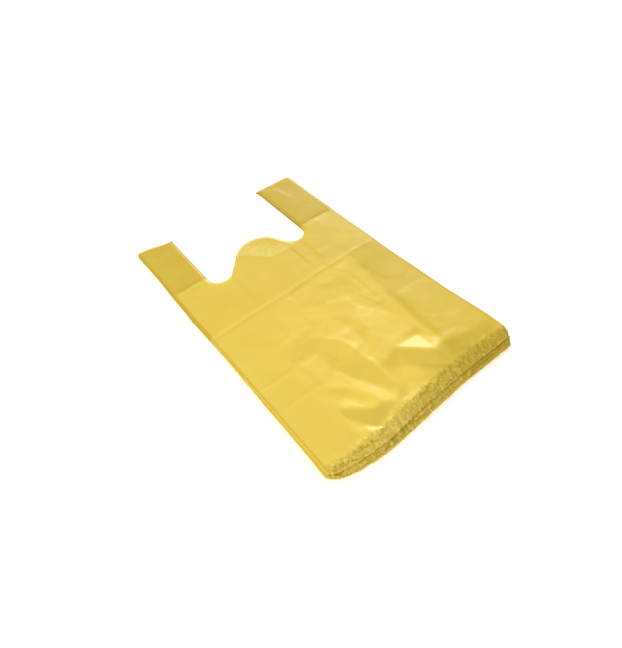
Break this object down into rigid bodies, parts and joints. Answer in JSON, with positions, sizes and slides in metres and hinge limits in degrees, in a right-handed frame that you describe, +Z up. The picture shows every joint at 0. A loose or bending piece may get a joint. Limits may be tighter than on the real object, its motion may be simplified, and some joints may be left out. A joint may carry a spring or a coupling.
{
  "type": "plastic carrier bag",
  "caption": "Thin-film vest carrier bag lying flat: side gussets, welded ends, two handles and a round tab between them.",
  "frame": {"origin": "on the resting surface, under the centre of the flat bag's outline", "axes": "+Y along the bag towards the handles' ends, +X across it, +Z up out of its front panel"},
  "size_m": [0.28, 0.48, 0.026],
  "materials": {
    "film": "semi-gloss, slightly translucent yellow HDPE film"
  },
  "bodies": {
    "root": {"carrier_bag": "film"}
  },
  "joints": []
}
